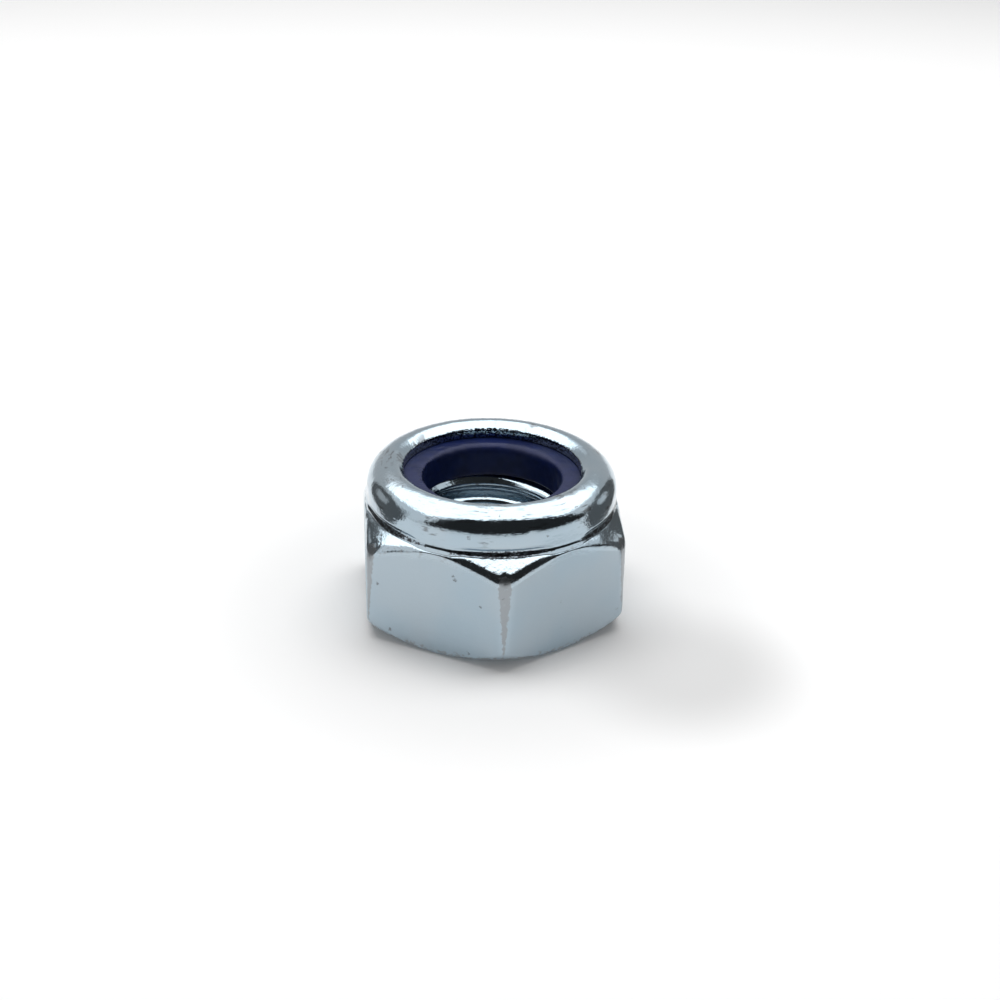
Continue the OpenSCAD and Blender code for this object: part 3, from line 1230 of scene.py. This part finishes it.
@dataclass
class NylonRing:
    """The moulded ring under the rolled lip, a little bulged where its bore is free.

    Attributes:
        body: The steel body that holds it.
        bite: How far the ring's bore stands into the thread, on the radius.
        soft_edge_round: Rounding of the bore's upper edge at the bump.
        worn_edge_round: The same at the tear.
        rise: How far the free face rises towards the lip.
        bump: Height of the small bump on the upper edge.
        bump_deg: How far it reaches.
        soft_deg: How far the soft edge reaches from it.
        edge_reach: How far tear and bump reach from the edge.
        face_width: Width of the face inside which the edge may be rounded.
    """

    body: SteelBody
    finish: DyedNylon
    bite: float = 0.85
    edge_round: float = 0.35
    soft_edge_round: float = 0.70
    worn_edge_round: float = 0.12
    low_edge_round: float = 0.3
    rise: float = 0.04
    rise_width: float = 0.9
    bump: float = 0.05
    bump_azimuth_deg: float = 84.0
    bump_deg: float = 2.5
    soft_deg: float = 60.0
    tear_azimuth_deg: float = 180.0
    tear_deg: float = 40.0
    edge_reach: float = 0.3
    columns: int = 720
    face_width: float = 0.9
    waves: Waviness = Waviness(0.02, 30, 1.2, 20, 21)
    torn_waves: Waviness = Waviness(0.16, 150, 0.5, 40, 5)

    def build(self) -> bpy.types.Object:
        """Builds the nylon ring and sets it in place of its CAD node."""
        body = self.body
        count = self.columns
        angle = np.linspace(0.0, FULL_TURN, count, endpoint=False)
        bore_r = body.thread_d / 2.0 - self.bite
        start = at(bore_r + self.face_width, body.face_z, count)
        top_edge = at(bore_r, body.face_z, count)
        low_edge = at(bore_r, body.floor_z, count)
        corner = at(body.pocket_r, body.floor_z, count)
        wall = at(body.pocket_r, body.face_z - body.shoulder_r, count)
        shoulder = at(body.pocket_r - body.shoulder_r, body.face_z, count)
        from_tear = (np.degrees(angle) - self.tear_azimuth_deg + 180.0) % 360.0 - 180.0
        near_tear = bell(from_tear, self.tear_deg)
        from_bump = np.degrees(angle) - self.bump_azimuth_deg
        edge_round = self.edge_round + (self.worn_edge_round - self.edge_round) * near_tear
        softened = (self.soft_edge_round - self.edge_round) * bell(from_bump, self.soft_deg, 4)
        edge_round += softened * (1.0 - near_tear)
        upper = rounded(start, top_edge, low_edge, edge_round, 12, hold=0.85)
        lower = rounded(top_edge, low_edge, corner, self.low_edge_round, 5)
        turned = arc(shoulder - [0.0, body.shoulder_r], body.shoulder_r, 0.0, 90.0, 10)
        rows = [
            start[None],
            run(start, upper[0], 3),
            upper,
            run(upper[-1], lower[0], 18),
            lower,
            run(lower[-1], corner, 3),
            corner[None],
            run(corner, wall, 2),
            turned,
            run(turned[-1], start, 14),
        ]
        section = np.concatenate(rows)
        near_lip = np.clip((section[..., 0] - body.lip_r + self.rise_width) / self.rise_width, 0.0, 1.0)
        open_face = (section[..., 1] > body.face_z - 0.01) & (section[..., 0] < body.lip_r + 0.02)
        section[..., 1] += self.rise * near_lip**2 * open_face
        travel = section_travel(section)
        at_edge = bell(away(section, bore_r, body.face_z - 0.1), self.edge_reach)
        depth = self.waves.depth_at(angle, travel)
        depth += self.torn_waves.depth_at(angle, travel) * (0.1 + near_tear**3) * at_edge
        depth -= self.bump * bell(from_bump, self.bump_deg) * at_edge
        section = section - section_normals(section) * depth[..., None]
        surface = Surface()
        numbers = surface.add(section, angle)
        surface.join(np.concatenate([numbers, numbers[:1]]))
        piece = surface.make_object("lock_ring", self.finish.material())
        return dress(piece, Node.RING)


def dress(piece: bpy.types.Object, node: Node) -> bpy.types.Object:
    """Puts a detailed piece in its CAD node's place.

    Args:
        piece: The new piece.
        node: The CAD node that it stands for.

    Returns:
        The piece.
    """
    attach(piece, ROOT_BODY)
    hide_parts(node.value)
    return piece


@dataclass
class Camera:
    """The photograph's view: a close-up from just above, with a corner of the hexagon in front.

    Attributes:
        elevation_deg: Height of the line of sight to the target over the floor.
        azimuth_deg: Its turn round the nut, from the -Y direction towards +X.
        target_z: Height of the target on the nut's axis.
        target_x_px: Where the target shows, from the picture's left edge.
        target_y_px: Where the target shows, from the picture's upper edge.
        focal_px: Focal length in pixels of the picture.
        roll_deg: Turn of the picture about the optical axis.
    """

    elevation_deg: float = 27.94
    azimuth_deg: float = -6.01
    distance: float = 109.3
    target_z: float = 5.588
    target_x_px: float = 490.4
    target_y_px: float = 531.8
    focal_px: float = 1440.0
    roll_deg: float = 1.68
    picture_px: float = 1000.0
    sensor: float = 36.0

    def direction(self, azimuth: float, elevation: float) -> Vector:
        """Unit vector from the nut towards an azimuth and elevation in radians."""
        level = math.cos(elevation)
        return Vector((math.sin(azimuth) * level, -math.cos(azimuth) * level, math.sin(elevation)))

    def build(self) -> None:
        """Makes the camera and gives it to the scene."""
        azimuth = math.radians(self.azimuth_deg)
        elevation = math.radians(self.elevation_deg)
        place = Vector((0.0, 0.0, self.target_z)) + self.direction(azimuth, elevation) * self.distance
        centre = self.picture_px / 2.0
        azimuth += math.atan((self.target_x_px - centre) / self.focal_px)
        elevation -= math.atan((self.target_y_px - centre) / self.focal_px)
        backward = self.direction(azimuth, elevation)
        right = Vector((math.cos(azimuth), math.sin(azimuth), 0.0))
        up = backward.cross(right)
        turned = Matrix.Rotation(math.radians(self.roll_deg), 3, backward)
        axes = Matrix((turned @ right, turned @ up, backward)).transposed()
        data = bpy.data.cameras.new("photo_view")
        data.sensor_width = self.sensor
        data.lens = self.focal_px / self.picture_px * self.sensor
        data.clip_start = 1.0 * MM
        camera = bpy.data.objects.new("photo_view", data)
        camera.matrix_world = Matrix.Translation(place * MM) @ axes.to_4x4()
        bpy.context.scene.collection.objects.link(camera)
        bpy.context.scene.camera = camera


@dataclass
class Studio:
    """Pale floor with painted shade round the nut, a soft lamp overhead and the cards that the bright steel
    mirrors.

    Attributes:
        lamp_height: Height of the lamp and of the white card beside it.
        lamp_half: Half of the lamp's size along X and Y.
        lamp_level: Brightness of its face, where 1 is white.
        overhead_half_width: Half of the white card's width along X.
        overhead_front: How far it reaches in front of the nut.
        overhead_back: How far it reaches behind the nut.
        card_distance: Distance of the standing cards from the nut.
        card_low_deg: Elevation of their lower edges.
        card_steps: Columns and rows of their points.
        dark_level: Brightness of the dark card in front.
        dark_top_deg: Elevations of its upper edge, each at an azimuth from -Y towards +X.
        grey_level: Brightness of the grey cards at the sides and behind.
        grey_top_deg: Elevations of their upper edge, in the same way.
        side_x: Distance of the small dark cards beside the nut.
        side_centre: Centres along Y and Z of the left and of the right one.
        side_half: Half of their widths and of their heights.
        pale_centre: Centres of the pale fields on them, along Y and Z.
        pale_half: Half of their widths and of their heights.
        pale_gap: How far they lie in front of the dark cards.
        pale_fullness: Their shape, where 1 is an ellipse and less is fuller.
        floor_reach: Half of the floor's width.
        floor_near_shade: Colour of the floor round the nut, darker than further away: painted shade round
            the nut.
        floor_far: Colour of the floor further away.
        floor_fade: Distances from the nut between which the one becomes the other.
        floor_shade: Colour of the floor where it is a little darker, to the right of the nut: a painted
            shadow.
        shade_place: Middle of that darker place, along X and Y.
        shade_fade: Distances from its middle between which it ends.
        floor_glow: White added to the floor for the eye.
        mirrored_glow: White added to it for reflections and for light through glass, more than for the eye:
            painted light that lifts the floor's shadow in the steel's reflections.
        room_level: Level of the soft light from all round.
    """

    lamp_height: float = 420.0
    lamp_half: Pair = (260.0, 110.0)
    lamp_place: Pair = (0.0, 110.0)
    lamp_level: float = 5.2
    overhead_half_width: float = 540.0
    overhead_front: float = 185.0
    overhead_back: float = 470.0
    overhead_level: float = 2.6
    card_distance: float = 700.0
    card_low_deg: float = 3.5
    card_steps: tuple[int, int] = (64, 12)
    dark_level: float = 0.03
    dark_top_deg: tuple[Pair, ...] = (
        (-66.0, 10.0), (-61.0, 26.0), (-54.0, 44.0), (-44.0, 57.0), (-30.0, 65.0), (5.0, 70.0),
        (40.0, 65.0), (55.0, 56.0), (66.0, 43.0), (76.0, 28.0), (84.0, 12.0),
    )
    grey_level: float = 0.62
    grey_top_deg: tuple[Pair, ...] = ((84.0, 18.0), (110.0, 24.0), (140.0, 31.0), (180.0, 33.0))
    side_x: float = 22.0
    side_centre: tuple[Pair, Pair] = ((3.8, 9.0), (3.0, 8.0))
    side_half: tuple[Pair, Pair] = ((10.7, 9.0), (11.5, 10.0))
    side_level: float = 0.15
    pale_centre: tuple[Pair, Pair] = ((4.5, 11.5), (1.2, 12.6))
    pale_half: tuple[Pair, Pair] = ((3.6, 2.6), (3.0, 2.2))
    pale_level: Pair = (0.55, 0.80)
    pale_gap: float = 0.2
    pale_fullness: float = 0.55
    oval_points: int = 48
    floor_reach: float = 1500.0
    floor_near_shade: Colour = (0.80, 0.80, 0.80)
    floor_far: Colour = (0.92, 0.92, 0.92)
    floor_fade: Pair = (14.0, 26.0)
    floor_shade: Colour = (0.66, 0.66, 0.66)
    shade_place: Pair = (13.0, -11.0)
    shade_fade: Pair = (3.0, 11.0)
    floor_glow: float = 0.03
    mirrored_glow: float = 0.13
    room_level: float = 0.38

    def floor(self) -> None:
        """Makes the floor, which keeps the nut's shadow."""
        reach = self.floor_reach * MM
        corners = [(-reach, -reach, 0), (reach, -reach, 0), (reach, reach, 0), (-reach, reach, 0)]
        mesh = bpy.data.meshes.new("floor")
        mesh.from_pydata(corners, [], [(0, 1, 2, 3)])
        made, sheet = Shader.new_material("floor_white")
        paint = sheet.node("BsdfDiffuse")
        sheet.link(self.floor_tone(sheet), paint.inputs["Color"])
        glow = sheet.node("Emission")
        rays = sheet.node("LightPath").outputs
        eye = sheet.join("MULTIPLY", rays["Is Camera Ray"], self.floor_glow)
        indirect = sheet.join("MAXIMUM", rays["Is Glossy Ray"], rays["Is Transmission Ray"])
        # Painted light: the floor glows more in reflections than to the eye, which lifts the nut's shadow
        # out of the steel's reflections.
        strength = sheet.join("ADD", eye, sheet.join("MULTIPLY", indirect, self.mirrored_glow))
        sheet.link(strength, glow.inputs["Strength"])
        both = sheet.node("AddShader")
        sheet.link(paint.outputs["BSDF"], both.inputs[0])
        sheet.link(glow.outputs["Emission"], both.inputs[1])
        sheet.end(both.outputs["Shader"])
        mesh.materials.append(made)
        self.show(mesh, True)

    def floor_tone(self, sheet: Shader) -> Socket:
        """Colour of the floor, from the nut outwards and in the darker place beside it: painted shade round
        the nut and a painted shadow to its right.

        Args:
            sheet: The floor material's nodes.

        Returns:
            The colour's output.
        """
        place = sheet.node("TexCoord").outputs["Object"]
        from_nut = sheet.node("VectorMath", operation="LENGTH")
        sheet.link(place, from_nut.inputs[0])
        near, far = self.floor_fade
        outward = sheet.spread(from_nut.outputs["Value"], near * MM, far * MM, 0.0, 1.0)
        from_shade = sheet.node("VectorMath", operation="DISTANCE")
        sheet.link(place, from_shade.inputs[0])
        from_shade.inputs[1].default_value = (self.shade_place[0] * MM, self.shade_place[1] * MM, 0.0)
        inner, outer = self.shade_fade
        shaded = sheet.spread(from_shade.outputs["Value"], inner * MM, outer * MM, 1.0, 0.0)
        # Painted shade: the floor is darker round the nut, with a painted shadow to its right.
        return sheet.mix(shaded, sheet.mix(outward, self.floor_near_shade, self.floor_far), self.floor_shade)

    def card(self, name: str, level: float, tops: Sequence[Pair]) -> None:
        """Makes a curved card that the nut mirrors and the camera doesn't see.

        Args:
            name: Name of the card.
            level: Brightness of its face.
            tops: Elevations of its upper edge, each at an azimuth from -Y towards +X.
        """
        steps, rises = self.card_steps
        corners, heights = zip(*tops)
        azimuth = np.linspace(corners[0], corners[-1], steps)
        top = np.interp(azimuth, corners, heights)
        share = np.linspace(0.0, 1.0, rises)[:, None]
        elevation = np.radians(self.card_low_deg + (top - self.card_low_deg) * share)
        turn = np.radians(np.broadcast_to(azimuth, elevation.shape))
        across, ahead = np.sin(turn) * np.cos(elevation), -np.cos(turn) * np.cos(elevation)
        points = np.stack([across, ahead, np.sin(elevation)], axis=-1)
        numbers = np.arange(steps * rises).reshape(rises, steps)
        faces = np.stack([numbers[:-1, :-1], numbers[:-1, 1:], numbers[1:, 1:], numbers[1:, :-1]], axis=-1)
        self.mirrored(name, level, points.reshape(-1, 3) * self.card_distance, faces.reshape(-1, 4))

    def mirrored(self, name: str, level: float, points: np.ndarray, faces: np.ndarray) -> None:
        """Makes a shining card that only reflections show.

        Args:
            name: Name of the card.
            level: Brightness of its face.
            points: Its points, in millimetres.
            faces: Point numbers of its faces.
        """
        mesh = bpy.data.meshes.new(name)
        mesh.from_pydata((points * MM).tolist(), [], faces.tolist())
        made, sheet = Shader.new_material(name)
        glow = sheet.node("Emission")
        sheet.link((level, level, level), glow.inputs["Color"])
        sheet.end(glow.outputs["Emission"])
        mesh.materials.append(made)
        card = self.show(mesh, False)
        card.visible_diffuse = False
        card.visible_shadow = False

    def overhead(self) -> None:
        """Makes the wide white card that the crest and the crown mirror."""
        wide, high = self.overhead_half_width, self.lamp_height
        front, back = -self.overhead_front, self.overhead_back
        corners = [(-wide, front, high), (wide, front, high), (wide, back, high), (-wide, back, high)]
        self.mirrored("overhead_card", self.overhead_level, np.array(corners), np.array([(0, 1, 2, 3)]))

    def side(self, name: str, x: float, which: int) -> None:
        """Makes one of the small dark cards beside the nut, with its pale field.

        Args:
            name: Name of the card.
            x: Its place along X.
            which: 0 for the left one and 1 for the right one.
        """
        self.oval(name, x, self.side_centre[which], self.side_half[which], 1.0, self.side_level)
        pale_x = x - math.copysign(self.pale_gap, x)
        centre, half, level = self.pale_centre[which], self.pale_half[which], self.pale_level[which]
        self.oval(name + "_window", pale_x, centre, half, self.pale_fullness, level)

    def oval(self, name: str, x: float, centre: Pair, half: Pair, fullness: float, level: float) -> None:
        """Makes an upright oval card, square to X.

        Args:
            name: Name of the card.
            x: Its place along X.
            centre: Its centre along Y and Z.
            half: Half of its width and of its height.
            fullness: 1 for an ellipse and less for a fuller shape.
            level: Brightness of its face.
        """
        count = self.oval_points
        turn = np.linspace(0.0, FULL_TURN, count, endpoint=False)
        across = np.sign(np.cos(turn)) * np.abs(np.cos(turn)) ** fullness
        up = np.sign(np.sin(turn)) * np.abs(np.sin(turn)) ** fullness
        # The card ends just over the floor
        height = np.maximum(centre[1] + half[1] * up, 0.05)
        points = np.stack([np.full(count, x), centre[0] + half[0] * across, height], axis=-1)
        self.mirrored(name, level, points, np.arange(count)[None])

    def show(self, mesh: bpy.types.Mesh, seen: bool) -> bpy.types.Object:
        """Links a stage mesh to the scene.

        Args:
            mesh: The mesh.
            seen: Whether the camera sees it.

        Returns:
            Its object.
        """
        made = bpy.data.objects.new(mesh.name, mesh)
        made.visible_camera = seen
        bpy.context.scene.collection.objects.link(made)
        return made

    def lamp(self) -> None:
        """Makes the overhead soft lamp, which lights the floor and the nylon."""
        data = bpy.data.lights.new("overhead_lamp", "AREA")
        data.shape = "RECTANGLE"
        data.size = 2.0 * self.lamp_half[0] * MM
        data.size_y = 2.0 * self.lamp_half[1] * MM
        data.energy = math.pi * self.lamp_level * data.size * data.size_y
        light = bpy.data.objects.new("overhead_lamp", data)
        light.location = (self.lamp_place[0] * MM, self.lamp_place[1] * MM, self.lamp_height * MM)
        light.visible_camera = False
        light.visible_glossy = False
        bpy.context.scene.collection.objects.link(light)

    def room(self) -> None:
        """Lights the scene softly from all round, with a white background.

        The background is white for the eye, for reflections and for light through glass.
        """
        world = bpy.data.worlds.new("room")
        bpy.context.scene.world = world
        world.use_nodes = True
        sheet = Shader(world.node_tree)
        rays = sheet.node("LightPath").outputs
        white = sheet.join("MAXIMUM", rays["Is Camera Ray"], rays["Is Glossy Ray"])
        white = sheet.join("MAXIMUM", white, rays["Is Transmission Ray"])
        light = sheet.node("Background")
        light.inputs["Color"].default_value = (1.0, 1.0, 1.0, 1.0)
        sheet.link(sheet.mix(white, self.room_level, 1.0), light.inputs["Strength"])
        sheet.end(light.outputs["Background"], "OutputWorld")

    def build(self) -> None:
        """Sets up the whole studio."""
        self.floor()
        self.card("dark_card", self.dark_level, self.dark_top_deg)
        mirrored = [(360.0 - azimuth, top) for azimuth, top in reversed(self.grey_top_deg)]
        self.card("grey_card", self.grey_level, [*self.grey_top_deg, *mirrored[1:]])
        self.overhead()
        self.side("side_card_left", -self.side_x, 0)
        self.side("side_card_right", self.side_x, 1)
        self.lamp()
        self.room()
        bpy.context.scene.view_settings.view_transform = "Standard"


def main() -> None:
    """Builds the pieces, the studio and the camera, and reports each piece."""
    logging.basicConfig(level=logging.INFO, format="%(message)s")
    low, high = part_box(Node.BODY.value)
    body = SteelBody(across_flats=(high.x - low.x) / MM, height=(high.z - low.z) / MM, finish=ZincPlate())
    for piece in (body.build(), NylonRing(body, DyedNylon()).build()):
        log.info("%s stands for %s", piece.name, piece.get("replaces", "its node"))
    Studio().build()
    Camera().build()


if __name__ == "__main__":
    main()
